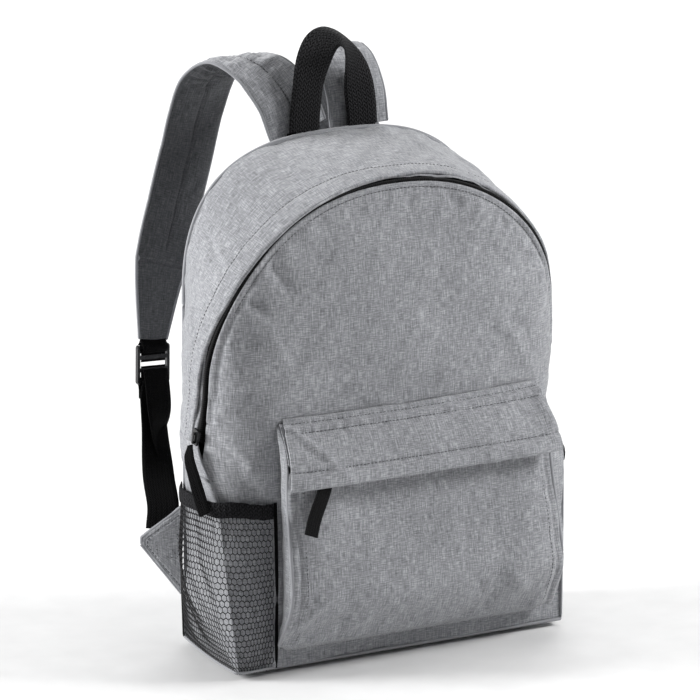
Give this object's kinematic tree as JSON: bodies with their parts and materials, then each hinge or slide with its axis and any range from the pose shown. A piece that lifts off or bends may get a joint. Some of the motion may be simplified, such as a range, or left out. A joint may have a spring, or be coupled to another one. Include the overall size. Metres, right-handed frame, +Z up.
{
  "type": "daypack",
  "caption": "Soft upright daypack with an arched main zip, flapped front pocket, mesh side pockets, haul loop and two padded shoulder straps.",
  "frame": {"origin": "on the underside of the flat base, in the middle of the base panel", "axes": "+Z up, -Y out of the bag's front, +X to the viewer's right when facing the front"},
  "size_m": [0.3293, 0.2391, 0.4687],
  "materials": {
    "grey_cloth": "matte melange weave",
    "dark_cloth": "matte weave",
    "foam": "matte foam",
    "black_webbing": "woven tape",
    "black_mesh": "open hexagonal knit",
    "zip_tape": "woven tape with nylon coil",
    "zip_metal": "black enamel",
    "buckle_plastic": "moulded acetal"
  },
  "bodies": {
    "root": {"back_panel": "grey_cloth", "gusset_band": "grey_cloth", "front_panel_lower": "grey_cloth", "side_panel_left": "grey_cloth", "side_panel_right": "grey_cloth", "storm_flap": "grey_cloth", "pocket_panel": "grey_cloth", "pocket_brow": "grey_cloth", "pocket_flap": "grey_cloth", "pocket_side_left": "grey_cloth", "pocket_side_right": "grey_cloth", "strap_root_left": "grey_cloth", "strap_root_right": "grey_cloth", "anchor_tab_left": "grey_cloth", "anchor_tab_right": "grey_cloth", "back_lining": "dark_cloth", "bottom_panel": "dark_cloth", "pocket_bottom": "dark_cloth", "back_foam": "foam", "mesh_binding_left": "black_webbing", "mesh_binding_right": "black_webbing", "mesh_edge_tape_left": "black_webbing", "mesh_edge_tape_right": "black_webbing", "mesh_pocket_left": "black_mesh", "mesh_pocket_right": "black_mesh", "zip_tape_gusset": "zip_tape", "zip_end_left": "zip_tape", "zip_end_right": "zip_tape", "pocket_zip_tape_lower": "zip_tape", "pocket_zip_tape_upper": "zip_tape"},
    "front_flap": {"front_panel_upper": "grey_cloth", "zip_tape_front": "zip_tape"},
    "zip_slider": {"main_zip_slider": "zip_metal"},
    "zip_pull": {"main_zip_pull": "black_webbing"},
    "pocket_slider": {"pocket_zip_slider": "zip_metal"},
    "pocket_pull": {"pocket_zip_pull": "black_webbing"},
    "loop": {"haul_loop": "black_webbing"},
    "strap_l": {"strap_foam_left": "foam", "strap_face_left": "grey_cloth", "strap_lining_left": "dark_cloth", "strap_tip_left": "grey_cloth", "adjuster_left": "buckle_plastic", "webbing_loop_left": "black_webbing", "webbing_grip_left": "black_webbing", "webbing_left": "black_webbing"},
    "strap_r": {"strap_foam_right": "foam", "strap_face_right": "grey_cloth", "strap_lining_right": "dark_cloth", "strap_tip_right": "grey_cloth", "adjuster_right": "buckle_plastic", "webbing_loop_right": "black_webbing", "webbing_grip_right": "black_webbing", "webbing_right": "black_webbing"}
  },
  "joints": [
    {"name": "front_flap_fold", "type": "hinge", "parent": "root", "child": "front_flap", "pos_m": [0, -0.06, 0.217], "axis": [1, 0, 0], "range_deg": [0, 90]},
    {"name": "main_zip_slide", "type": "slide", "parent": "root", "child": "zip_slider", "axis": [0, -0.237, 0.9715], "range_m": [0, 0.05]},
    {"name": "main_pull_swing", "type": "hinge", "parent": "zip_slider", "child": "zip_pull", "pos_m": [-0.161, -0.01, 0.1744], "axis": [0, 0.9842, -0.1772], "range_deg": [0, 120]},
    {"name": "pocket_zip_slide", "type": "slide", "parent": "root", "child": "pocket_slider", "axis": [1, 0, 0], "range_m": [0, 0.17]},
    {"name": "pocket_pull_swing", "type": "hinge", "parent": "pocket_slider", "child": "pocket_pull", "pos_m": [-0.081, -0.0831, 0.1585], "axis": [0.0543, -0.9918, 0.1154], "range_deg": [0, 40]},
    {"name": "haul_loop_fold", "type": "hinge", "parent": "root", "child": "loop", "pos_m": [0, 0.053, 0.3948], "axis": [1, 0, 0], "range_deg": [0, 75]},
    {"name": "strap_swing_left", "type": "hinge", "parent": "root", "child": "strap_l", "pos_m": [-0.027, 0.06, 0.393], "axis": [0.3745, -0.027, 0.9268], "range_deg": [-20, 20]},
    {"name": "strap_swing_right", "type": "hinge", "parent": "root", "child": "strap_r", "pos_m": [0.027, 0.06, 0.393], "axis": [0.3745, 0.027, -0.9268], "range_deg": [-20, 20]}
  ]
}
